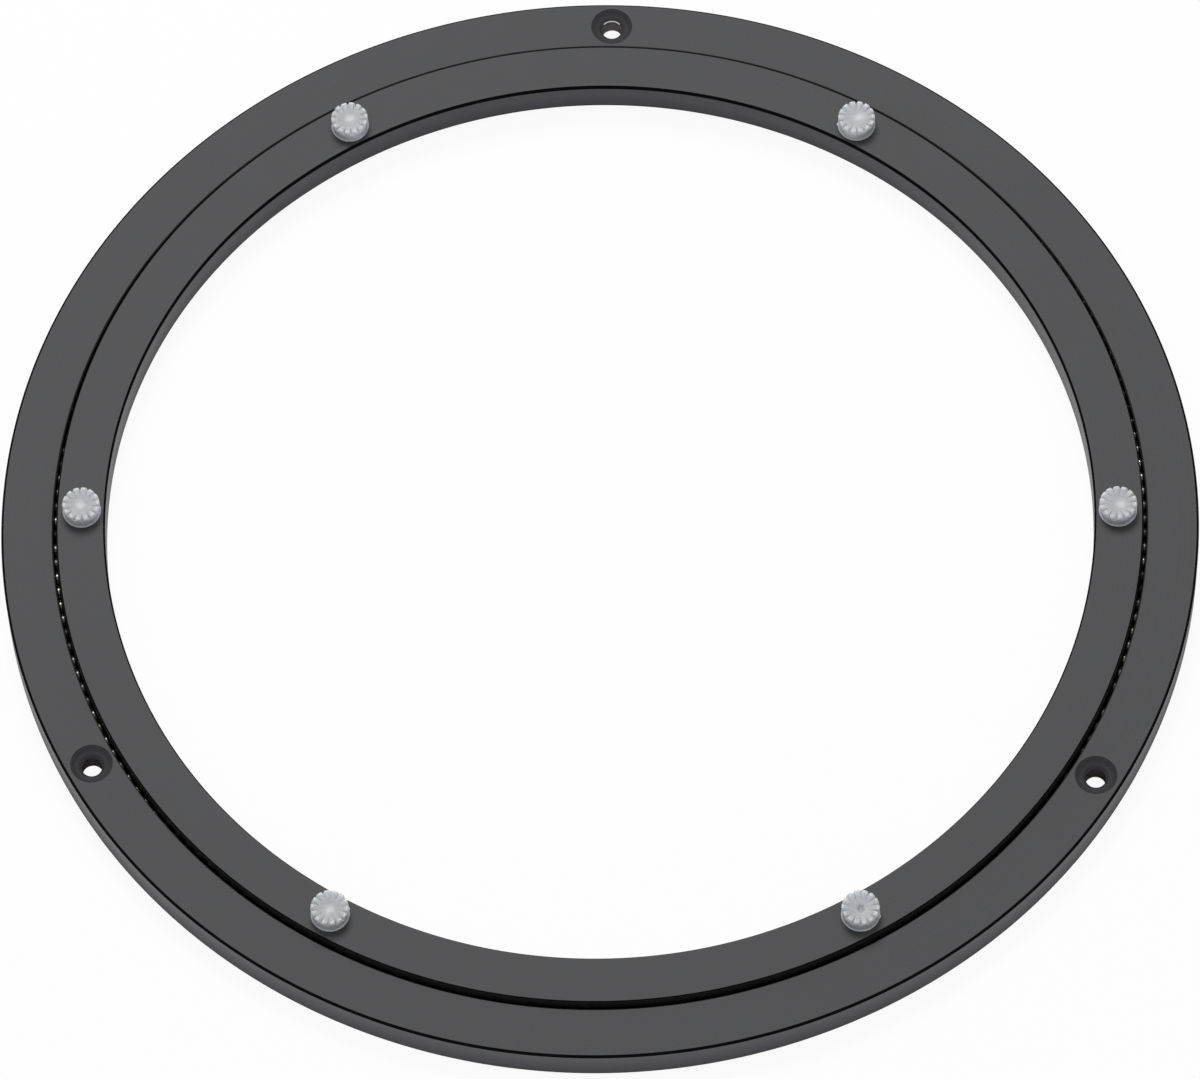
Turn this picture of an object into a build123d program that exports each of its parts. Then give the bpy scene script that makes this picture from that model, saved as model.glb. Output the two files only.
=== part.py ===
from build123d import *
import os
from itertools import product
from math import asin, atan2, cos, degrees, floor, hypot, pi, radians, sqrt, tan

# Low lazy susan bearing: two flat aluminium rings, one inside the other, that turn on a single row of
# loose steel balls. The outer ring is screwed down. The inner ring stands a little higher and carries
# the tray on six moulded pads.
# Millimetres, +Z up. The origin is the bearing's centre, on the surface that the outer ring stands on.

# Rings
outer_diameter = 300.0
outer_ring_width = 13.0
inner_ring_width = 12.2
running_gap = 0.95
ring_height = 9.7
inner_ring_lift = 1.8
rim_chamfer = 0.55
bore_chamfer_width = 0.42
bore_chamfer_height = 0.9
gap_chamfer = 0.3

# Balls and their vee-shaped raceway, which touches each ball at four points
ball_diameter = 4.0
ball_first_angle = 0.82
raceway_clearance = 0.05

# Countersunk screw holes through the outer ring, recessed from below
screw_count = 3
screw_inset = 6.8
screw_first_angle = 90.0
screw_bore = 5.1
countersink_diameter = 10.5
countersink_angle = 110.0
recess_diameter = 10.4
recess_depth = 3.5

# Port in the outer wall where the balls are loaded, and the set screw that closes it
port_angle = 150.0
port_diameter = 4.8
plug_clearance = 0.03
plug_sunk = 0.4
socket_across_flats = 2.5
socket_depth = 2.0

# Tray pads, pushed into holes in the inner ring. Each one sits as its fitter left it, turned a little.
pad_inset = 5.85
pad_first_angle = 0.76
pad_turns = (6, 15, 21, 19, 10, 13)
pad_height = 4.4
pad_base_diameter = 9.2
pad_rim_diameter = 9.4
pad_rim_bevel = 0.45
pad_dish_diameter = 8.1
pad_dish_floor_diameter = 4.0
pad_dish_depth = 0.8
pad_stem_diameter = 5.0
pad_stem_length = 8.0
pad_stem_clearance = 0.05
flute_count = 14
flute_start_radius = 2.0
flute_depth = 1.5
flute_half_angle = 13.0

# Places that follow from the sizes above
outer_radius = outer_diameter / 2
outer_ring_bore_radius = outer_radius - outer_ring_width
inner_ring_radius = outer_ring_bore_radius - running_gap
inner_ring_bore_radius = inner_ring_radius - inner_ring_width
inner_ring_top = inner_ring_lift + ring_height
pitch_radius = outer_ring_bore_radius - running_gap / 2
screw_circle_radius = outer_radius - screw_inset
pad_circle_radius = inner_ring_bore_radius + pad_inset
raceway_height = (inner_ring_lift + ring_height) / 2
ball_count = floor(pi / asin(ball_diameter / 2 / pitch_radius))


def turned(points):
    """A solid of revolution about Z from the corners (radius, height) of its half section."""
    return revolve(Plane.XZ * make_face(Polyline(*points, close=True)), Axis.Z)


def raceway():
    """What the vee grooves remove: a square stood on its corner, whose flanks clear the balls, carried round."""
    reach = (ball_diameter / 2 + raceway_clearance) * sqrt(2)
    return turned(
        [
            (pitch_radius - reach, raceway_height),
            (pitch_radius, raceway_height - reach),
            (pitch_radius + reach, raceway_height),
            (pitch_radius, raceway_height + reach),
        ]
    )


def screw_hole():
    """What one screw hole removes: the recess from below, the bore and the countersink."""
    sink_depth = (countersink_diameter - screw_bore) / 2 / tan(radians(countersink_angle / 2))
    return turned(
        [
            (0, 0),
            (recess_diameter / 2, 0),
            (recess_diameter / 2, recess_depth),
            (screw_bore / 2, recess_depth),
            (screw_bore / 2, ring_height - sink_depth),
            (countersink_diameter / 2, ring_height),
            (0, ring_height),
        ]
    )


def radial_rod(diameter, start_radius, end_radius):
    """A round rod that lies along a radius of the raceway, at the loading port's angle."""
    rod = Cylinder(diameter / 2, end_radius - start_radius, align=(Align.CENTER, Align.CENTER, Align.MIN))
    return Rot(0, 0, port_angle) * Pos(start_radius, 0, raceway_height) * Rot(0, 90, 0) * rod


def around(circle_radius, first_angle, count):
    """Places spaced evenly round a circle about Z."""
    return [
        Rot(0, 0, first_angle + index * 360 / count) * Pos(circle_radius, 0, 0) for index in range(count)
    ]


def grooved_outer_ring():
    """The outer ring as it leaves the lathe, before it is drilled: both rims and the gap's top edge chamfered."""
    blank = turned(
        [
            (outer_ring_bore_radius, 0),
            (outer_radius - rim_chamfer, 0),
            (outer_radius, rim_chamfer),
            (outer_radius, ring_height - rim_chamfer),
            (outer_radius - rim_chamfer, ring_height),
            (outer_ring_bore_radius + gap_chamfer, ring_height),
            (outer_ring_bore_radius, ring_height - gap_chamfer),
        ]
    )
    return blank - raceway()


def outer_ring():
    drilled = grooved_outer_ring() - radial_rod(port_diameter, pitch_radius, outer_radius + ball_diameter)
    holes = around(screw_circle_radius, screw_first_angle, screw_count)
    return drilled - [place * screw_hole() for place in holes]


def loading_plug():
    """The set screw in the loading port. The raceway runs across its inner end, so the balls roll past it."""
    outer_end = outer_radius - plug_sunk
    blank = radial_rod(port_diameter - 2 * plug_clearance, pitch_radius, outer_end)
    key = extrude(RegularPolygon(socket_across_flats / 2, 6, major_radius=False), socket_depth)
    socket = Rot(0, 0, port_angle) * Pos(outer_end - socket_depth, 0, raceway_height) * Rot(0, 90, 0) * key
    return (blank & grooved_outer_ring()) - socket


def bearing_balls():
    """A full row of loose balls. Each is drawn with twenty flat faces, with its corners on the true sphere."""
    golden = (1 + sqrt(5)) / 2
    corner_scale = ball_diameter / 2 / hypot(1, golden)
    corners = []
    for a, b in product((-corner_scale, corner_scale), (-golden * corner_scale, golden * corner_scale)):
        corners += [(0, a, b), (a, b, 0), (b, 0, a)]
    ball = ConvexPolyhedron(corners)
    level = Pos(0, 0, raceway_height)
    places = around(pitch_radius, ball_first_angle, ball_count)
    return Compound(children=[level * place * ball for place in places])


def inner_ring():
    """The turning ring, drilled for the pads. Its bore's chamfers are taller than they are wide."""
    blank = turned(
        [
            (inner_ring_bore_radius + bore_chamfer_width, inner_ring_lift),
            (inner_ring_radius, inner_ring_lift),
            (inner_ring_radius, inner_ring_top - gap_chamfer),
            (inner_ring_radius - gap_chamfer, inner_ring_top),
            (inner_ring_bore_radius + bore_chamfer_width, inner_ring_top),
            (inner_ring_bore_radius, inner_ring_top - bore_chamfer_height),
            (inner_ring_bore_radius, inner_ring_lift + bore_chamfer_height),
        ]
    )
    pad_hole = Cylinder(pad_stem_diameter / 2 + pad_stem_clearance, 2 * inner_ring_top)
    holes = around(pad_circle_radius, pad_first_angle, len(pad_turns))
    return blank - raceway() - [place * pad_hole for place in holes]


def petalled(lower_diameter, upper_diameter, bottom, top):
    """One storey of a pad: a prism with a flat face for each petal, drawn in from its wider end to the other."""
    height = top - bottom
    widest = max(lower_diameter, upper_diameter)
    inset = abs(lower_diameter - upper_diameter) / 2 * cos(pi / flute_count)
    storey = extrude(RegularPolygon(widest / 2, flute_count), height, taper=degrees(atan2(inset, height)))
    if lower_diameter < upper_diameter:
        return Pos(0, 0, top) * Rot(180, 0, 0) * storey
    return Pos(0, 0, bottom) * storey


def flute():
    """What one flute removes from a pad: a narrow vee that starts in the dish's floor and notches the rim."""
    start = Vector(flute_start_radius, 0, pad_height - pad_dish_depth)
    end = Vector(pad_rim_diameter / 2, 0, pad_height - flute_depth)
    length = (end - start).length
    half_width = length * tan(radians(flute_half_angle))
    section = Polyline((0, 0), (half_width, length), (-half_width, length), close=True)
    return extrude(Plane(start, x_dir=(0, 1, 0), z_dir=end - start) * make_face(section), 2 * length)


def tray_pad():
    """A moulded pad that stands at height 0: a stem below, a skirt, a bevelled rim, and a shallow fluted dish."""
    shoulder = pad_height - pad_rim_bevel
    bevelled_diameter = pad_rim_diameter - 2 * pad_rim_bevel
    skirt = petalled(pad_base_diameter, pad_rim_diameter, 0, shoulder)
    rim = petalled(pad_rim_diameter, bevelled_diameter, shoulder, pad_height)
    dish = petalled(pad_dish_floor_diameter, pad_dish_diameter, pad_height - pad_dish_depth, pad_height)
    stem = petalled(pad_stem_diameter, pad_stem_diameter, -pad_stem_length, 0)
    flutes = [Rot(0, 0, index * 360 / flute_count) * flute() for index in range(flute_count)]
    return skirt + rim + stem - dish - flutes


def placed_pads():
    """The pads by name, each standing on the inner ring with its own turn."""
    holes = around(pad_circle_radius, pad_first_angle, len(pad_turns))
    pad = tray_pad()
    pads = {}
    for index, (place, turn) in enumerate(zip(holes, pad_turns)):
        own_turn = turn - pad_first_angle - index * 360 / len(pad_turns)
        pads[f"tray_pad_{index + 1}"] = Pos(0, 0, inner_ring_top) * place * Rot(0, 0, own_turn) * pad
    return pads


nodes = {
    "outer_ring": outer_ring(),
    "loading_plug": loading_plug(),
    "bearing_balls": bearing_balls(),
    "inner_ring": inner_ring(),
    **placed_pads(),
}
os.makedirs("parts", exist_ok=True)
for name, solid in nodes.items():
    export_step(solid, f"parts/{name}.step")
print("balls:", ball_count)
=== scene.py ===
from math import cos, radians, sin, sqrt, tan

import bpy
import numpy as np
from mathutils import Matrix, Vector


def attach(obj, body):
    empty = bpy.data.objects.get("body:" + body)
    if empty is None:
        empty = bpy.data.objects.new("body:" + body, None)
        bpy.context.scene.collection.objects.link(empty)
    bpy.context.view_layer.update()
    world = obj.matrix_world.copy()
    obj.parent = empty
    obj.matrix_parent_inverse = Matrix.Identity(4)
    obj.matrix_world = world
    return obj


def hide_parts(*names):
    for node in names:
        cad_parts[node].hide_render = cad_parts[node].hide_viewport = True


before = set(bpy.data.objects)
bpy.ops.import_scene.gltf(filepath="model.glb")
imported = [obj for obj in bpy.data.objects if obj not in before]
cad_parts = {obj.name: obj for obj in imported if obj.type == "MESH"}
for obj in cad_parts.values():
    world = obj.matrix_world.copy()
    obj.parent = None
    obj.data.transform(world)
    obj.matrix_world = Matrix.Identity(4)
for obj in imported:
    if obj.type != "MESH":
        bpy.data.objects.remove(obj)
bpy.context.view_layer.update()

# Sizes in metres, as in the part: two flat rings, a row of balls between them, six pads for the tray
MM = 0.001
outer_radius = 150 * MM
outer_ring_bore_radius = 137 * MM
inner_ring_radius = 136.05 * MM
inner_ring_bore_radius = 123.85 * MM
ring_height = 9.7 * MM
inner_ring_lift = 1.8 * MM
inner_ring_top = inner_ring_lift + ring_height
rim_chamfer = 0.55 * MM
bore_chamfer_width = 0.42 * MM
bore_chamfer_height = 0.9 * MM
gap_chamfer = 0.3 * MM
edge_ease = 0.05 * MM
ring_steps = 720
ring_sharp_angle = radians(15)

ball_radius = 2 * MM
ball_count = 214
ball_first_angle = radians(0.82)
pitch_radius = (outer_ring_bore_radius + inner_ring_radius) / 2
raceway_height = inner_ring_top / 2
raceway_clearance = 0.05 * MM
raceway_reach = (ball_radius + raceway_clearance) * sqrt(2)

screw_count = 3
screw_circle_radius = 143.2 * MM
screw_first_angle = radians(90)
screw_bore_radius = 2.55 * MM
countersink_radius = 5.25 * MM
countersink_half_angle = radians(55)
countersink_depth = (countersink_radius - screw_bore_radius) / tan(countersink_half_angle)
recess_radius = 5.2 * MM
recess_depth = 3.5 * MM
hole_steps = 96

port_angle = radians(150)
port_radius = 2.4 * MM

pad_count = 6
pad_circle_radius = 129.7 * MM
pad_first_angle = radians(0.76)
pad_turns = (6, 15, 21, 19, 10, 13)
pad_height = 4.4 * MM
pad_rim_radius = 4.7 * MM
pad_rim_rounding = 0.45 * MM
pad_dish_radius = 4.05 * MM
pad_dish_depth = 1.1 * MM
pad_skirt_radius = 4.47 * MM
pad_lip_radius = 4.78 * MM
pad_lip_height = 0.5 * MM
pad_foot_radius = 4.4 * MM
pad_stem_radius = 2.5 * MM
pad_stem_length = 8 * MM
pad_stem_clearance = 0.05 * MM
flute_count = 14
flute_start_radius = 2 * MM
flute_depth = 1.5 * MM
flute_half_angle = radians(13)
steps_per_petal = 24
pad_sharp_angle = radians(50)

# Moulding marks, by the pads' numbers from 0: the gate's dimple in one, a nib of flash on the lips of three
dimpled_pad = 5
dimple_depth = 0.7 * MM
dimple_radius = 0.85 * MM
nib_angles = {1: radians(180), 4: radians(19), 5: radians(-8)}
nib_size = 0.3 * MM
nib_half_angle = 0.07

# The photograph's left-right line lies this far round from the frame's X axis
photo_turn = radians(3.24)

# Finishes of a ring, in the order of its material slots. Three carry painted shade: the bore wall is a
# darker copy of the outer wall, the cut edges are near black, and the walls in the gap, the raceways and the
# countersinks' outer bands are dark.
FACE, WALL, SHADED_BORE_WALL, SHADED_CUT_EDGE, PAINTED_SHADE_WALL, COUNTERSINK, BORE, RAW_BORE, BARE = range(9)


def grid_faces(rows, columns, close_rows=True, close_columns=True):
    """Four-sided faces of a grid whose point (i, j) has the number i times columns plus j."""
    i = np.arange(rows if close_rows else rows - 1)
    j = np.arange(columns if close_columns else columns - 1)
    i, j = np.meshgrid(i, j, indexing="ij")
    next_i = (i + 1) % rows
    next_j = (j + 1) % columns
    corners = (i * columns + j, next_i * columns + j, next_i * columns + next_j, i * columns + next_j)
    return np.stack(corners, axis=-1).reshape(-1, 4)


def mesh_object(name, points, faces, finishes=None):
    """An object at the origin from an array of points and a list of faces, with a finish number per face."""
    mesh = bpy.data.meshes.new(name)
    mesh.from_pydata(points, [], faces)
    if finishes is not None:
        mesh.polygons.foreach_set("material_index", np.asarray(finishes, dtype=np.int32))
    mesh.update()
    piece = bpy.data.objects.new(name, mesh)
    bpy.context.scene.collection.objects.link(piece)
    return piece


def smooth(piece, sharp_angle):
    """Smooth shading that breaks at edges sharper than the angle."""
    piece.data.shade_smooth()
    piece.data.set_sharp_from_angle(angle=sharp_angle)


def finish_piece(piece, body, node, materials):
    """The piece takes the node's place, moves with its body and gets its materials."""
    for material in materials:
        piece.data.materials.append(material)
    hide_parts(node)
    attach(piece, body)


# Rings


def eased(section):
    """Breaks every corner of a closed section of (radius, height, finish of the side that follows). Each
    corner becomes two points, one on either side of it at the ease's distance. The short side between them
    takes the finish beside it that comes later in the order of the slots."""
    corners = np.array([point[:2] for point in section])
    finishes = np.array([point[2] for point in section])
    ahead = np.roll(corners, -1, axis=0) - corners
    ahead /= np.linalg.norm(ahead, axis=1, keepdims=True)
    behind = -np.roll(ahead, 1, axis=0)
    points = np.stack([corners + edge_ease * behind, corners + edge_ease * ahead], axis=1).reshape(-1, 2)
    eases = np.maximum(finishes, np.roll(finishes, 1))
    return points, np.stack([eases, finishes], axis=1).reshape(-1)


def turned_ring(name, section):
    """A closed section carried round Z: point j of the section, at its radius and height, is turned through
    i parts of a whole turn."""
    points, finishes = eased(section)
    turn = np.arange(ring_steps) * 2 * np.pi / ring_steps
    x = np.outer(np.cos(turn), points[:, 0])
    y = np.outer(np.sin(turn), points[:, 0])
    z = np.broadcast_to(points[:, 1], x.shape)
    faces = grid_faces(ring_steps, len(points))
    grid = np.stack([x, y, z], axis=-1).reshape(-1, 3)
    return mesh_object(name, grid, faces.tolist(), np.tile(finishes, ring_steps))


def turned_cutter(profile, place, bare_arc=None):
    """A drill's sweep: the profile of (radius, height, finish of the side that follows), carried round its
    own axis and capped at both ends, then moved to its place by a matrix. A bare arc of (number of the side,
    middle angle, half width) takes the dye off that side over that stretch."""
    radius = np.array([point[0] for point in profile])
    height = np.array([point[1] for point in profile])
    finishes = [point[2] for point in profile]
    turn = np.arange(hole_steps) * 2 * np.pi / hole_steps
    x = np.outer(np.cos(turn), radius)
    y = np.outer(np.sin(turn), radius)
    z = np.broadcast_to(height, x.shape)
    count = len(profile)
    faces = grid_faces(hole_steps, count, close_columns=False).tolist()
    first_ring = (np.arange(hole_steps) * count)[::-1].tolist()
    last_ring = (np.arange(hole_steps) * count + count - 1).tolist()
    sides = np.tile(finishes[:-1], (hole_steps, 1))
    if bare_arc is not None:
        side, middle, half_width = bare_arc
        away = np.abs((turn - middle + np.pi) % (2 * np.pi) - np.pi)
        sides[away < half_width, side] = BARE
    points = np.stack([x, y, z], axis=-1).reshape(-1, 3)
    side_finishes = sides.ravel().tolist()
    cutter = mesh_object("Cutter", points, faces + [first_ring, last_ring], side_finishes + [BORE, BORE])
    cutter.data.transform(place)
    return cutter


def drilled(piece, cutters):
    """The piece less its cutters. The cutters go, and the cut mesh takes the piece's place."""
    for cutter in cutters:
        cut = piece.modifiers.new("Hole", "BOOLEAN")
        cut.operation = "DIFFERENCE"
        cut.solver = "EXACT"
        cut.object = cutter
    evaluated = piece.evaluated_get(bpy.context.evaluated_depsgraph_get())
    mesh = bpy.data.meshes.new_from_object(evaluated)
    piece.modifiers.clear()
    piece.data = mesh
    for cutter in cutters:
        bpy.data.objects.remove(cutter)
    return piece


def on_circle(radius, angle, height=0.0):
    """A place on a circle about Z, turned to face outwards."""
    return Matrix.Rotation(angle, 4, "Z") @ Matrix.Translation((radius, 0, height))


def around(count, first_angle):
    """Angles spaced evenly round the circle."""
    return [first_angle + index * 2 * np.pi / count for index in range(count)]


def outer_ring():
    """The screwed-down ring: a rectangle with chamfered corners and a vee groove in its bore, carried round
    Z, then drilled for the screws and the loading port. The first screw hole's bore is raw, and a burr at
    the foot of its countersink has lost its dye on the side away from the bearing's centre."""
    vee = raceway_reach - (outer_ring_bore_radius - pitch_radius)
    # The chamfers take the near-black cut-edge colour, and the gap chamfer, the wall of the bore and the
    # raceway take the dark wall colour, both painted shade.
    section = [
        (outer_ring_bore_radius, 0, FACE),
        (outer_radius - rim_chamfer, 0, SHADED_CUT_EDGE),
        (outer_radius, rim_chamfer, WALL),
        (outer_radius, ring_height - rim_chamfer, SHADED_CUT_EDGE),
        (outer_radius - rim_chamfer, ring_height, FACE),
        (outer_ring_bore_radius + gap_chamfer, ring_height, PAINTED_SHADE_WALL),
        (outer_ring_bore_radius, ring_height - gap_chamfer, PAINTED_SHADE_WALL),
        (outer_ring_bore_radius, raceway_height + vee, PAINTED_SHADE_WALL),
        (outer_ring_bore_radius + vee, raceway_height, PAINTED_SHADE_WALL),
        (outer_ring_bore_radius, raceway_height - vee, PAINTED_SHADE_WALL),
    ]
    over = 1 * MM
    cone_slope = countersink_depth / (countersink_radius - screw_bore_radius)
    burr_width = 0.22 * MM
    burr_half_angle = radians(52)
    burr_side = 3
    outwards = 0.0
    # Painted shade: a band at the countersink's outer edge takes the dark wall colour.
    dark_rim = 0.2 * MM
    cone_foot = ring_height - countersink_depth
    port_profile = [(port_radius, 0, BORE), (port_radius, outer_radius, BORE)]
    cutters = []
    for index, angle in enumerate(around(screw_count, screw_first_angle)):
        first = index == 0
        screw_profile = [
            (recess_radius, -over, BORE),
            (recess_radius, recess_depth, BORE),
            (screw_bore_radius, recess_depth, RAW_BORE if first else BORE),
            (screw_bore_radius, cone_foot, COUNTERSINK),
            (screw_bore_radius + burr_width, cone_foot + burr_width * cone_slope, COUNTERSINK),
            (countersink_radius - dark_rim, ring_height - dark_rim * cone_slope, PAINTED_SHADE_WALL),
            (countersink_radius, ring_height, PAINTED_SHADE_WALL),
            (countersink_radius + over, ring_height + over * cone_slope, PAINTED_SHADE_WALL),
        ]
        burr = (burr_side, outwards, burr_half_angle) if first else None
        cutters.append(turned_cutter(screw_profile, on_circle(screw_circle_radius, angle), burr))
    port_place = on_circle(pitch_radius, port_angle, raceway_height) @ Matrix.Rotation(radians(90), 4, "Y")
    cutters.append(turned_cutter(port_profile, port_place))
    return drilled(turned_ring("outer_ring_body", section), cutters)


def inner_ring():
    """The turning ring: a rectangle with chamfered corners and a vee groove outside, carried round Z, then
    drilled for the stems of the pads."""
    vee = raceway_reach - (pitch_radius - inner_ring_radius)
    # The chamfers take the near-black cut-edge colour and the walls facing the gap take the dark wall
    # colour, both painted shade; the bore wall takes the darker, shaded copy of the wall colour.
    section = [
        (inner_ring_bore_radius + bore_chamfer_width, inner_ring_lift, FACE),
        (inner_ring_radius, inner_ring_lift, PAINTED_SHADE_WALL),
        (inner_ring_radius, raceway_height - vee, PAINTED_SHADE_WALL),
        (inner_ring_radius - vee, raceway_height, PAINTED_SHADE_WALL),
        (inner_ring_radius, raceway_height + vee, PAINTED_SHADE_WALL),
        (inner_ring_radius, inner_ring_top - gap_chamfer, SHADED_CUT_EDGE),
        (inner_ring_radius - gap_chamfer, inner_ring_top, FACE),
        (inner_ring_bore_radius + bore_chamfer_width, inner_ring_top, SHADED_CUT_EDGE),
        (inner_ring_bore_radius, inner_ring_top - bore_chamfer_height, SHADED_BORE_WALL),
        (inner_ring_bore_radius, inner_ring_lift + bore_chamfer_height, SHADED_CUT_EDGE),
    ]
    stem_hole = pad_stem_radius + pad_stem_clearance
    stem_profile = [(stem_hole, 0, BORE), (stem_hole, 2 * inner_ring_top, BORE)]
    cutters = [
        turned_cutter(stem_profile, on_circle(pad_circle_radius, angle))
        for angle in around(pad_count, pad_first_angle)
    ]
    return drilled(turned_ring("inner_ring_body", section), cutters)


# Balls


def ball_row():
    """A ball is a grid of longitude and latitude, its points at the ball's radius. The whole row is that
    ball set at every step round the pitch circle. Each ball carries a share that darkens and dulls it. One
    part is a cosine wave, strongest at two places opposite each other and leaning towards minus X, which is
    painted shade that dims the balls' glints along those stretches. The other is an uneven part drawn at
    random for each ball, which stands for grease."""
    columns = 12
    circles_with_poles = 8
    latitude = np.linspace(-np.pi / 2, np.pi / 2, circles_with_poles)[1:-1]
    longitude = np.arange(columns) * 2 * np.pi / columns
    x = np.outer(np.cos(latitude), np.cos(longitude))
    y = np.outer(np.cos(latitude), np.sin(longitude))
    z = np.broadcast_to(np.sin(latitude)[:, None], x.shape)
    belt = np.stack([x, y, z], axis=-1).reshape(-1, 3)
    ball = ball_radius * np.concatenate([belt, [[0, 0, -1], [0, 0, 1]]])
    rows = len(latitude)
    south = rows * columns
    north = south + 1
    first = np.arange(columns)
    last = (rows - 1) * columns + first
    belt_faces = grid_faces(rows, columns, close_rows=False)[:, ::-1]
    south_faces = np.stack([np.full(columns, south), np.roll(first, -1), first], axis=1)
    north_faces = np.stack([np.full(columns, north), last, np.roll(last, -1)], axis=1)
    turn = ball_first_angle + np.arange(ball_count) * 2 * np.pi / ball_count
    height = np.full(ball_count, raceway_height)
    centres = np.stack([pitch_radius * np.cos(turn), pitch_radius * np.sin(turn), height], axis=1)
    points = (centres[:, None, :] + ball[None, :, :]).reshape(-1, 3)
    offsets = np.arange(ball_count)[:, None, None] * len(ball)
    quads = (offsets + belt_faces[None]).reshape(-1, 4).tolist()
    caps = (offsets + np.concatenate([south_faces, north_faces])[None]).reshape(-1, 3).tolist()
    row = mesh_object("ball_row", points, quads + caps)
    darkest_painted_shade = radians(136)
    wave_share = 0.9
    uneven_share = 0.8
    lean_share = 0.15
    even_share = 0.2
    # Painted shade: the wave and the lean darken chosen stretches of the row; the uneven part stands for
    # grease.
    wave = 0.5 + 0.5 * np.cos(2 * (turn - darkest_painted_shade))
    uneven = np.random.default_rng(5).random(ball_count) - 0.5
    grease_and_shade_sum = wave_share * wave + uneven_share * uneven - lean_share * np.cos(turn) + even_share
    grease_and_shade = np.clip(grease_and_shade_sum, 0, 1)
    attribute = row.data.attributes.new("grease_and_shade", "FLOAT", "POINT")
    attribute.data.foreach_set("value", np.repeat(grease_and_shade, len(ball)).astype(np.float32))
    return row


# Tray pads


def soft_least(first, second, blend):
    """The lesser of two heights, rounded over where they cross: their mean less the root of half their
    difference squared plus the blend squared."""
    return (first + second) / 2 - np.sqrt(((first - second) / 2) ** 2 + blend**2)


def bowl_height(radius):
    """Height of a pad's dish, which rises from its floor as the radius squared."""
    return pad_height - pad_dish_depth + pad_dish_depth * (radius / pad_dish_radius) ** 2


def dish_height(radius):
    """Height of a pad's top before it is fluted: the dish, up to a level rim that turns down at its outer
    edge as a quarter circle, the two rounded into each other."""
    rim_blend = 0.05 * MM
    over_edge = np.clip((radius - pad_rim_radius) / pad_rim_rounding + 1, 0, 1)
    rim = pad_height - pad_rim_rounding * (1 - np.sqrt(1 - over_edge**2))
    return soft_least(bowl_height(radius), rim, rim_blend)


def flute_height(radius, angle):
    """Height of the vee flutes: a floor that falls away from the dish ever faster towards the rim, by a
    power of the way out, and flanks that rise from it in step with the distance from the flute's middle,
    rounded at the bottom."""
    bottom_round = 0.15 * MM
    lead_in = 0.15 * MM
    fall_power = 1.3
    pitch = 2 * np.pi / flute_count
    aside = radius * np.sin((angle + pitch / 2) % pitch - pitch / 2)
    away = np.sqrt(aside**2 + bottom_round**2) - bottom_round
    way_out = np.clip((radius - flute_start_radius) / (pad_rim_radius - flute_start_radius), 0, None)
    top = np.minimum(bowl_height(radius), pad_height)
    floor = top + lead_in - (flute_depth + lead_in) * way_out**fall_power
    return floor + away / tan(flute_half_angle)


def pad_surface(dimple, nib_angle):
    """A pad's skin as a polar grid. Along each ray it runs from the dish's middle over the rim at the lesser
    of the dish and the flutes, down the skirt in a straight line from wherever that ends, round the lip, and
    under to the stem. Each petal's top falls off from its middle as the distance squared. A dimple sinks the
    dish's middle, and a nib swells the lip, both as bell curves."""
    dish_steps = 28
    dish_start = 0.05
    edge_steps = 9
    skirt_steps = 14
    petal_fall = 0.12 * MM
    flute_blend = 0.03 * MM
    stem_bevel = 0.5 * MM
    stem_tip_share = 0.92
    # The lip's section from the top down: heights, shares of the lip's bulge, and shares of a nib's swell
    lip_heights = np.array([0.42, 0.36, 0.28, 0.2, 0.14]) * MM
    bulge_shares = np.array([0.5, 0.9, 1.0, 0.85, 0.4])
    nib_shares = np.array([0.3, 0.8, 1.0, 0.8, 0.3])
    angle = np.arange(flute_count * steps_per_petal) * 2 * np.pi / (flute_count * steps_per_petal)
    pitch = 2 * np.pi / flute_count
    off_petal = ((angle % pitch) / pitch - 0.5) * 2
    dish_part = np.linspace(dish_start, 1, dish_steps)[:-1] * (pad_rim_radius - pad_rim_rounding)
    edge_part = pad_rim_radius + pad_rim_rounding * (np.sin(np.linspace(0, np.pi / 2, edge_steps)) - 1)
    radius = np.tile(np.concatenate([dish_part, edge_part]), (len(angle), 1))
    rays = angle[:, None]
    fall = petal_fall * off_petal[:, None] ** 2 * (radius / pad_rim_radius) ** 2
    height = soft_least(dish_height(radius) - fall, flute_height(radius, rays), flute_blend)
    height = height - dimple * np.exp(-((radius / dimple_radius) ** 4))
    down = np.linspace(0, 1, skirt_steps)[1:]
    skirt_height = height[:, -1:] + (pad_lip_height - height[:, -1:]) * down
    rise = (skirt_height - pad_lip_height) / (pad_height - pad_rim_rounding - pad_lip_height)
    skirt_radius = pad_skirt_radius + (pad_rim_radius - pad_skirt_radius) * np.clip(rise, 0, 1)
    swell = np.zeros_like(angle)
    if nib_angle is not None:
        away = (angle - nib_angle + np.pi) % (2 * np.pi) - np.pi
        swell = nib_size * np.exp(-((away / nib_half_angle) ** 2))
    lip_bulge = (pad_lip_radius - pad_skirt_radius) * bulge_shares
    lip_radius = pad_skirt_radius + lip_bulge + swell[:, None] * nib_shares
    lip_height = np.tile(lip_heights, (len(angle), 1))
    stem_tip_radius = stem_tip_share * pad_stem_radius
    under_radius = np.array([pad_foot_radius, pad_stem_radius, pad_stem_radius, stem_tip_radius])
    under_height = np.array([0, 0, stem_bevel - pad_stem_length, -pad_stem_length])
    under_radius = np.tile(under_radius, (len(angle), 1))
    under_height = np.tile(under_height, (len(angle), 1))
    radius = np.concatenate([radius, skirt_radius, lip_radius, under_radius], axis=1)
    height = np.concatenate([height, skirt_height, lip_height, under_height], axis=1)
    return angle, radius, height


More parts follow.
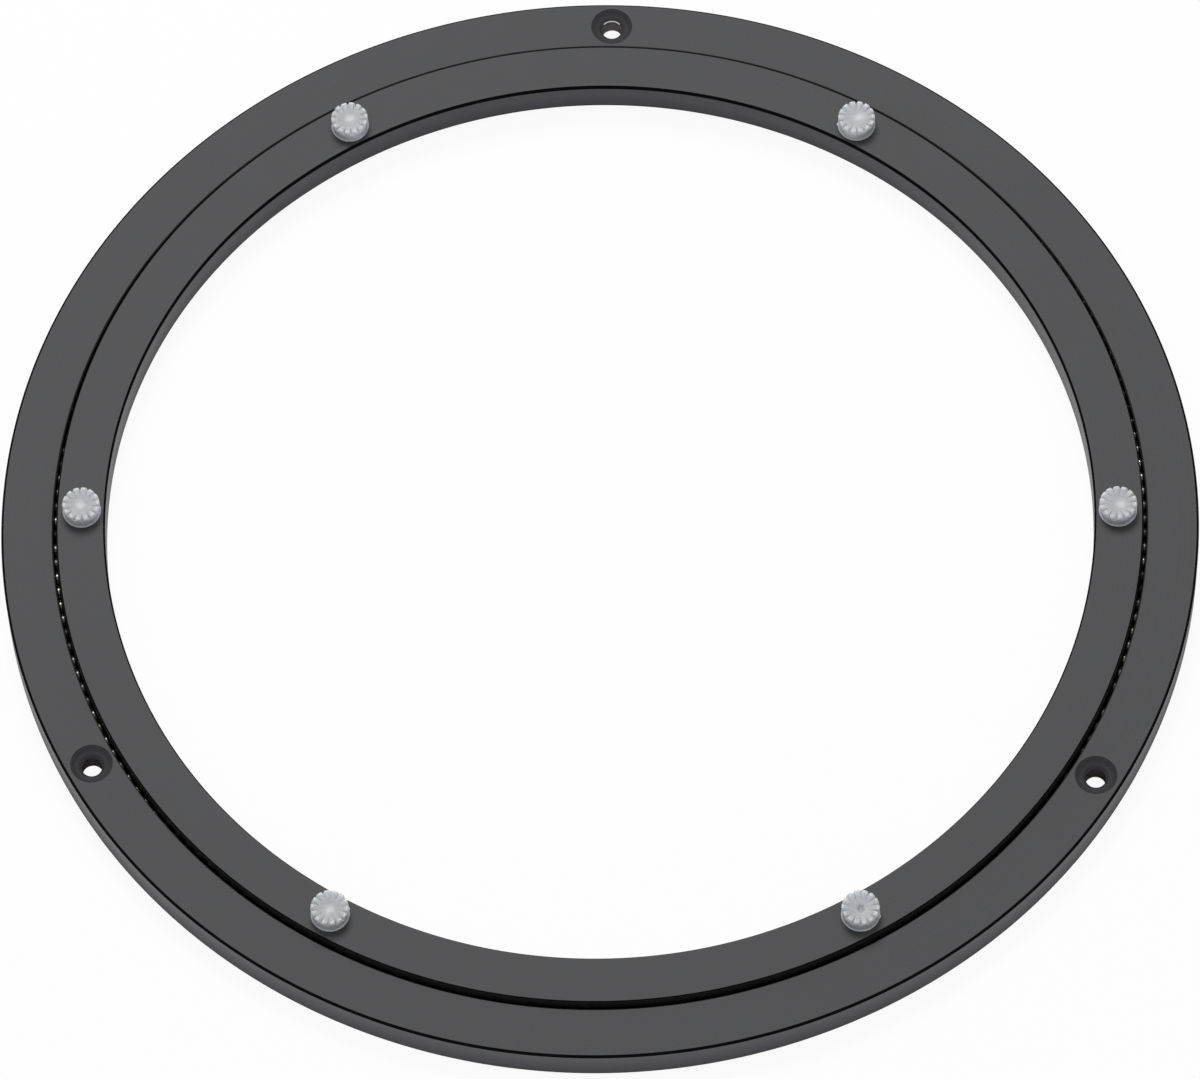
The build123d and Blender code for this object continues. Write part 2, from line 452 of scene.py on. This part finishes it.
def tray_pad(index):
    """One pad on the inner ring: its polar grid, turned as the fitter left it, closed by a point in the
    dish's middle and one under the stem."""
    dimple = dimple_depth if index == dimpled_pad else 0.0
    turn = radians(pad_turns[index])
    nib_angle = nib_angles[index] - turn if index in nib_angles else None
    angle, radius, height = pad_surface(dimple, nib_angle)
    place_angle = around(pad_count, pad_first_angle)[index]
    middle = [pad_circle_radius * cos(place_angle), pad_circle_radius * sin(place_angle)]
    x = middle[0] + radius * np.cos(angle + turn)[:, None]
    y = middle[1] + radius * np.sin(angle + turn)[:, None]
    z = inner_ring_top + height
    rows, columns = radius.shape
    grid = np.stack([x, y, z], axis=-1).reshape(-1, 3)
    dish_point = middle + [inner_ring_top + pad_height - pad_dish_depth - dimple]
    stem_point = middle + [inner_ring_top - pad_stem_length]
    points = np.concatenate([grid, [dish_point, stem_point]])
    inner = np.arange(rows) * columns
    outer = inner + columns - 1
    dish = len(grid)
    stem = dish + 1
    dish_faces = np.stack([np.full(rows, dish), inner, np.roll(inner, -1)], axis=1).tolist()
    stem_faces = np.stack([np.full(rows, stem), np.roll(outer, -1), outer], axis=1).tolist()
    faces = grid_faces(rows, columns, close_columns=False)[:, ::-1].tolist()
    return mesh_object(f"tray_pad_{index + 1}_body", points, faces + dish_faces + stem_faces)


# Materials


def new_group(name, inputs, outputs):
    """An empty shader node group with named number sockets."""
    group = bpy.data.node_groups.new(name, "ShaderNodeTree")
    for socket_name, value in inputs:
        socket = group.interface.new_socket(socket_name, in_out="INPUT", socket_type="NodeSocketFloat")
        socket.default_value = value
    for socket_name in outputs:
        group.interface.new_socket(socket_name, in_out="OUTPUT", socket_type="NodeSocketFloat")
    start = group.nodes.new("NodeGroupInput")
    end = group.nodes.new("NodeGroupOutput")
    return group, start, end


def calculate(tree, operation, first, second=None):
    """A math node. Each operand is a socket or a number."""
    node = tree.nodes.new("ShaderNodeMath")
    node.operation = operation
    for socket, operand in zip(node.inputs, (first, second)):
        if isinstance(operand, (int, float)):
            socket.default_value = operand
        elif operand is not None:
            tree.links.new(operand, socket)
    return node.outputs[0]


def noise(tree, vector, scale, detail=2.0):
    """A noise texture's value on a vector."""
    node = tree.nodes.new("ShaderNodeTexNoise")
    node.inputs["Scale"].default_value = scale
    node.inputs["Detail"].default_value = detail
    tree.links.new(vector, node.inputs["Vector"])
    return node.outputs["Fac"]


def turned_grain():
    """Fine grain of a turned and anodised face. Shade is one plus the depth times three unevennesses: a
    speckle a quarter of a millimetre across, rings that follow the height plus a share of the distance from
    Z, and slow clouds. Height is speckle plus rings. Mottle is a patchy mask, a few millimetres across. A
    noise texture's scale is in cells to the metre."""
    ring_scale = 1800
    speckle_scale = 4500
    cloud_scale = 60
    mottle_scale = 380
    cloud_share = 0.3
    mean = 0.5
    inputs = [("Depth", 0.1), ("Radial", 1.0), ("Rings", 0.5)]
    tree, start, end = new_group("Turned grain", inputs, ["Shade", "Height", "Mottle"])
    position = tree.nodes.new("ShaderNodeTexCoord").outputs["Object"]
    split = tree.nodes.new("ShaderNodeSeparateXYZ")
    tree.links.new(position, split.inputs[0])
    across = calculate(tree, "MULTIPLY", split.outputs["X"], split.outputs["X"])
    along = calculate(tree, "MULTIPLY", split.outputs["Y"], split.outputs["Y"])
    radius = calculate(tree, "SQRT", calculate(tree, "ADD", across, along))
    rings = tree.nodes.new("ShaderNodeTexNoise")
    rings.noise_dimensions = "1D"
    rings.inputs["Scale"].default_value = ring_scale
    rings.inputs["Detail"].default_value = 3
    outwards = calculate(tree, "MULTIPLY", radius, start.outputs["Radial"])
    tree.links.new(calculate(tree, "ADD", outwards, split.outputs["Z"]), rings.inputs["W"])
    rings_alone = calculate(tree, "SUBTRACT", rings.outputs["Fac"], mean)
    ring_part = calculate(tree, "MULTIPLY", rings_alone, start.outputs["Rings"])
    speckle_part = calculate(tree, "SUBTRACT", noise(tree, position, speckle_scale, detail=1), mean)
    cloud_part = calculate(tree, "SUBTRACT", noise(tree, position, cloud_scale), mean)
    height = calculate(tree, "ADD", ring_part, speckle_part)
    uneven = calculate(tree, "ADD", height, calculate(tree, "MULTIPLY", cloud_part, cloud_share))
    shade = calculate(tree, "ADD", calculate(tree, "MULTIPLY", uneven, start.outputs["Depth"]), 1.0)
    tree.links.new(shade, end.inputs["Shade"])
    tree.links.new(height, end.inputs["Height"])
    tree.links.new(noise(tree, position, mottle_scale), end.inputs["Mottle"])
    return tree


def tinted(tree, colour, shade):
    """A colour, constant or from a socket, times a shade."""
    node = tree.nodes.new("ShaderNodeVectorMath")
    node.operation = "SCALE"
    if isinstance(colour, tuple):
        node.inputs[0].default_value = colour
    else:
        tree.links.new(colour, node.inputs[0])
    tree.links.new(shade, node.inputs["Scale"])
    return node.outputs[0]


def mottled(tree, colour, mottle):
    """A colour that drifts between a cooler and a warmer cast of itself: red and blue rise or fall by their
    drift."""
    red_drift = 0.03
    blue_drift = 0.04
    red, green, blue = colour
    node = tree.nodes.new("ShaderNodeMix")
    node.data_type = "RGBA"
    tree.links.new(mottle, node.inputs["Factor"])
    node.inputs["A"].default_value = ((1 - red_drift) * red, green, (1 + blue_drift) * blue, 1)
    node.inputs["B"].default_value = ((1 + red_drift) * red, green, (1 - blue_drift) * blue, 1)
    return node.outputs["Result"]


def bump(tree, height, distance):
    """A bump node's normal from a height, at full strength."""
    node = tree.nodes.new("ShaderNodeBump")
    node.inputs["Distance"].default_value = distance
    node.inputs["Strength"].default_value = 1
    tree.links.new(height, node.inputs["Height"])
    return node.outputs["Normal"]


def new_material(name):
    """A material with its Principled shader ready to be fed."""
    material = bpy.data.materials.new(name)
    material.use_nodes = True
    tree = material.node_tree
    return material, tree, tree.nodes["Principled BSDF"]


def placed_grain(tree, grain, depth):
    """The grain's node group, placed in a material with its own depth."""
    grained = tree.nodes.new("ShaderNodeGroup")
    grained.node_tree = grain
    grained.inputs["Depth"].default_value = depth
    return grained


def anodised(name, grain, colour, roughness, specular, depth, radial=1.0, rings=0.5):
    """Anodised aluminium: its colour, which for some finishes is painted shade, and its roughness are both
    multiplied by the grain's shade.
    """
    groove_depth = 0.004 * MM
    material, tree, shader = new_material(name)
    grained = placed_grain(tree, grain, depth)
    grained.inputs["Radial"].default_value = radial
    grained.inputs["Rings"].default_value = rings
    shade = grained.outputs["Shade"]
    mottled_colour = mottled(tree, colour, grained.outputs["Mottle"])
    tree.links.new(tinted(tree, mottled_colour, shade), shader.inputs["Base Color"])
    tree.links.new(calculate(tree, "MULTIPLY", shade, roughness), shader.inputs["Roughness"])
    tree.links.new(bump(tree, grained.outputs["Height"], groove_depth), shader.inputs["Normal"])
    shader.inputs["Specular IOR Level"].default_value = specular
    return material


def polished_steel(name, grain, colour, roughness):
    """Bare hardened steel: a metal whose colour and roughness are both multiplied by the grain's shade."""
    material, tree, shader = new_material(name)
    shade = placed_grain(tree, grain, depth=0.25).outputs["Shade"]
    tree.links.new(tinted(tree, colour, shade), shader.inputs["Base Color"])
    tree.links.new(calculate(tree, "MULTIPLY", shade, roughness), shader.inputs["Roughness"])
    shader.inputs["Metallic"].default_value = 1
    return material


def greased_shaded_steel(name, colour):
    """Polished balls. The larger a ball's share of grease and painted shade, the darker and the duller it
    is: its colour falls in step with that share, and its roughness rises in step with it."""
    darkening = 0.95
    dulling = 0.35
    clean_roughness = 0.08
    material, tree, shader = new_material(name)
    grease_and_shade = tree.nodes.new("ShaderNodeAttribute")
    grease_and_shade.attribute_name = "grease_and_shade"
    share = grease_and_shade.outputs["Fac"]
    shade = calculate(tree, "SUBTRACT", 1.0, calculate(tree, "MULTIPLY", share, darkening))
    roughness = calculate(tree, "ADD", calculate(tree, "MULTIPLY", share, dulling), clean_roughness)
    tree.links.new(tinted(tree, colour, shade), shader.inputs["Base Color"])
    tree.links.new(roughness, shader.inputs["Roughness"])
    shader.inputs["Metallic"].default_value = 1
    return material


def bare_burr(name):
    """Bare aluminium where a burr has lost its dye."""
    material, _, shader = new_material(name)
    shader.inputs["Base Color"].default_value = (0.65, 0.64, 0.62, 1)
    shader.inputs["Roughness"].default_value = 0.4
    return material


def pad_nylon():
    """Waxy moulded nylon: a milky colour with slow clouds in it, and a faint orange-peel skin. Towards the
    thin lip at the foot its colour turns paler and bluer, a painted highlight for the light the lip catches,
    and it scatters nearer its surface, both in step with the height."""
    body_colour = (0.49, 0.505, 0.523, 1)
    # Painted highlight: the lip's colour is paler and bluer than the body's.
    painted_light_lip_colour = (0.71, 0.735, 0.81, 1)
    paling_start = inner_ring_top + 1.3 * MM
    paling_end = inner_ring_top + 0.3 * MM
    cloud_scale = 500
    cloud_share = 0.1
    peel_scale = 1500
    peel_depth = 0.02 * MM
    mean_roughness = 0.35
    lip_scatter_loss = 0.8
    material, tree, shader = new_material("Waxy nylon")
    position = tree.nodes.new("ShaderNodeTexCoord").outputs["Object"]
    clouds = calculate(tree, "SUBTRACT", noise(tree, position, cloud_scale), 0.5)
    shade = calculate(tree, "ADD", calculate(tree, "MULTIPLY", clouds, cloud_share), 1.0)
    split = tree.nodes.new("ShaderNodeSeparateXYZ")
    tree.links.new(position, split.inputs[0])
    to_lip = tree.nodes.new("ShaderNodeMapRange")
    to_lip.inputs["From Min"].default_value = paling_start
    to_lip.inputs["From Max"].default_value = paling_end
    tree.links.new(split.outputs["Z"], to_lip.inputs["Value"])
    body_and_lip = tree.nodes.new("ShaderNodeMix")
    body_and_lip.data_type = "RGBA"
    body_and_lip.inputs["A"].default_value = body_colour
    body_and_lip.inputs["B"].default_value = painted_light_lip_colour
    tree.links.new(to_lip.outputs["Result"], body_and_lip.inputs["Factor"])
    milk_and_painted_light = tinted(tree, body_and_lip.outputs["Result"], shade)
    tree.links.new(milk_and_painted_light, shader.inputs["Base Color"])
    tree.links.new(calculate(tree, "MULTIPLY", shade, mean_roughness), shader.inputs["Roughness"])
    peel = noise(tree, position, peel_scale, detail=1)
    tree.links.new(bump(tree, peel, peel_depth), shader.inputs["Normal"])
    scatter_loss = calculate(tree, "MULTIPLY", to_lip.outputs["Result"], lip_scatter_loss)
    tree.links.new(calculate(tree, "SUBTRACT", 1.0, scatter_loss), shader.inputs["Subsurface Weight"])
    shader.inputs["Subsurface Radius"].default_value = (0.95, 1, 1.06)
    shader.inputs["Subsurface Scale"].default_value = 6 * MM
    return material


# Studio


def studio_floor():
    """A wide pale disc under the bearing. For the camera and in reflections, most of its paint gives way to
    an even white, so it reads as white and keeps a faint shadow. Reflections keep more of the shadow at the
    rings' feet: there the white grows in step with the distance from the nearer foot. In that band, set by
    the rings' radii, the paint shows with its real shadow and also a painted shade, as the paint is darker
    than the white."""
    sides = 96
    floor_radius = 6
    floor_drop = 0.2 * MM
    foot_shadow_width = 12 * MM
    white_share = 0.93
    rim = np.arange(sides) * 2 * np.pi / sides
    height = np.full(sides, -floor_drop)
    points = np.stack([floor_radius * np.cos(rim), floor_radius * np.sin(rim), height], axis=1)
    floor = mesh_object("floor", points, [list(range(sides))])
    material = bpy.data.materials.new("White floor")
    material.use_nodes = True
    tree = material.node_tree
    tree.nodes.clear()
    output = tree.nodes.new("ShaderNodeOutputMaterial")
    paint = tree.nodes.new("ShaderNodeBsdfDiffuse")
    paint.inputs["Color"].default_value = (0.86, 0.86, 0.86, 1)
    white = tree.nodes.new("ShaderNodeEmission")
    both = tree.nodes.new("ShaderNodeMixShader")
    path = tree.nodes.new("ShaderNodeLightPath")
    from_centre = tree.nodes.new("ShaderNodeVectorMath")
    from_centre.operation = "LENGTH"
    tree.links.new(tree.nodes.new("ShaderNodeTexCoord").outputs["Object"], from_centre.inputs[0])
    radius = from_centre.outputs["Value"]
    # Painted shade in reflections: a band round the rings' footprint, set by their radii, where the paint
    # shows instead of the white.
    outside = calculate(tree, "SUBTRACT", radius, outer_radius)
    inside = calculate(tree, "SUBTRACT", inner_ring_bore_radius, radius)
    from_foot = tree.nodes.new("ShaderNodeMapRange")
    from_foot.inputs["From Max"].default_value = foot_shadow_width
    tree.links.new(calculate(tree, "MAXIMUM", outside, inside), from_foot.inputs["Value"])
    mirrored = calculate(tree, "MAXIMUM", path.outputs["Is Glossy Ray"], path.outputs["Is Transmission Ray"])
    mirrored_share = calculate(tree, "MULTIPLY", mirrored, from_foot.outputs["Result"])
    seen = calculate(tree, "MAXIMUM", path.outputs["Is Camera Ray"], mirrored_share)
    tree.links.new(calculate(tree, "MULTIPLY", seen, white_share), both.inputs["Fac"])
    tree.links.new(paint.outputs[0], both.inputs[1])
    tree.links.new(white.outputs[0], both.inputs[2])
    tree.links.new(both.outputs[0], output.inputs["Surface"])
    floor.data.materials.append(material)


def studio_world():
    """A pale room, set by the height above the horizon, which is the sine of the angle above it: pale along
    the horizon, dim walls, and a bright ceiling."""
    horizon_height = 0.08
    wall_heights = (0.22, 0.66)
    ceiling_height = 0.9
    world = bpy.data.worlds.new("Studio")
    world.use_nodes = True
    tree = world.node_tree
    direction = tree.nodes.new("ShaderNodeTexCoord").outputs["Generated"]
    split = tree.nodes.new("ShaderNodeSeparateXYZ")
    tree.links.new(direction, split.inputs[0])
    room = tree.nodes.new("ShaderNodeValToRGB")
    room.color_ramp.interpolation = "EASE"
    horizon, ceiling = room.color_ramp.elements
    horizon.position = horizon_height
    horizon.color = (0.9, 0.9, 0.9, 1)
    ceiling.position = ceiling_height
    ceiling.color = (0.95, 0.95, 0.95, 1)
    for wall_height in wall_heights:
        wall = room.color_ramp.elements.new(wall_height)
        wall.color = (0.15, 0.15, 0.155, 1)
    tree.links.new(split.outputs["Z"], room.inputs["Fac"])
    tree.links.new(room.outputs["Color"], tree.nodes["Background"].inputs["Color"])
    bpy.context.scene.world = world


def soft_box(name, azimuth, elevation, distance, width, power):
    """A square soft lamp that faces the bearing. Its place is given by its angle round the bearing from the
    camera, its height angle and its distance."""
    lamp = bpy.data.lights.new(name, "AREA")
    lamp.shape = "SQUARE"
    lamp.size = width
    lamp.energy = power
    holder = bpy.data.objects.new(name, lamp)
    round_angle = azimuth + photo_turn - radians(90)
    towards = Vector((cos(round_angle) * cos(elevation), sin(round_angle) * cos(elevation), sin(elevation)))
    holder.location = distance * towards
    holder.rotation_mode = "QUATERNION"
    holder.rotation_quaternion = towards.to_track_quat("Z", "Y")
    bpy.context.scene.collection.objects.link(holder)


def photo_camera():
    """A long lens that looks down steeply from in front, a little rolled, as the photograph was taken."""
    elevation = radians(61.58)
    distance = 2.3105
    roll = radians(-2.247)
    back = Vector((0, -cos(elevation), sin(elevation)))
    right = Vector((1, 0, 0))
    up = back.cross(right)
    rolled_right = cos(roll) * right + sin(roll) * up
    rolled_up = cos(roll) * up - sin(roll) * right
    stand = Matrix((rolled_right, rolled_up, back)).transposed().to_4x4()
    stand.translation = distance * back
    lens = bpy.data.cameras.new("Camera")
    lens.sensor_width = 36
    lens.sensor_fit = "HORIZONTAL"
    lens.lens = 275.7
    lens.shift_x = -0.00012
    lens.shift_y = -0.0056
    lens.clip_end = 50
    camera = bpy.data.objects.new("Camera", lens)
    camera.matrix_world = Matrix.Rotation(photo_turn, 4, "Z") @ stand
    bpy.context.scene.collection.objects.link(camera)
    bpy.context.scene.camera = camera


grain = turned_grain()
face_dye = (0.0715, 0.0722, 0.075)
wall_dye = (0.067, 0.0645, 0.0745)
# Painted shade: the bore wall is a darker copy of the outer wall's colour, with less sheen.
shaded_bore_wall_dye = (0.056, 0.0537, 0.0615)
# Painted shade: the cut edges are coloured near black, with no sheen, in place of the dark reflections they
# show.
painted_shade_edge_dye = (0.006, 0.006, 0.0062)
# Painted shade: the walls and raceways in the gap between the rings, and the countersinks' outer bands, are
# coloured dark.
painted_shade_wall_dye = (0.02, 0.019, 0.018)
sink_dye = (0.048, 0.0466, 0.0503)
bore_dye = (0.099, 0.0848, 0.0833)
raw_dye = (0.35, 0.326, 0.324)
ring_finishes = [
    anodised("Anodised face", grain, face_dye, roughness=0.5, specular=0.1, depth=0.7, rings=0.3),
    anodised("Anodised wall", grain, wall_dye, roughness=0.3, specular=0.42, depth=0.3),
    anodised("Anodised bore wall shaded", grain, shaded_bore_wall_dye, roughness=0.3, specular=0.28, depth=0.3),
    anodised("Cut edge painted shade", grain, painted_shade_edge_dye, roughness=0.3, specular=0.0, depth=0.5),
    anodised("Painted shade wall", grain, painted_shade_wall_dye, roughness=0.5, specular=0.3, depth=0.5),
    anodised("Countersink", grain, sink_dye, roughness=0.4, specular=0.15, depth=0.8, radial=0.0, rings=1.2),
    anodised("Bore", grain, bore_dye, roughness=0.45, specular=0.25, depth=1.4, radial=0.0, rings=1.5),
    anodised("Raw bore", grain, raw_dye, roughness=0.4, specular=0.35, depth=1.6, radial=0.0, rings=1.5),
    bare_burr("Bare burr"),
]
ball_steel = greased_shaded_steel("Polished ball steel", colour=(0.21, 0.2025, 0.191))
plug_steel = polished_steel("Blackened plug steel", grain, colour=(0.12, 0.12, 0.125), roughness=0.35)
nylon = pad_nylon()

outer = outer_ring()
smooth(outer, ring_sharp_angle)
finish_piece(outer, "fixed_ring", "outer_ring", ring_finishes)

inner = inner_ring()
smooth(inner, ring_sharp_angle)
finish_piece(inner, "turning_ring", "inner_ring", ring_finishes)

balls = ball_row()
balls.data.shade_smooth()
finish_piece(balls, "ball_row", "bearing_balls", [ball_steel])

for pad_index in range(pad_count):
    pad = tray_pad(pad_index)
    smooth(pad, pad_sharp_angle)
    finish_piece(pad, "turning_ring", f"tray_pad_{pad_index + 1}", [nylon])

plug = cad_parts["loading_plug"]
plug.data.materials.clear()
plug.data.materials.append(plug_steel)

studio_floor()
studio_world()
soft_box("Key", azimuth=radians(188), elevation=radians(62), distance=2.2, width=0.9, power=30)
photo_camera()
bpy.context.scene.view_settings.view_transform = "Standard"
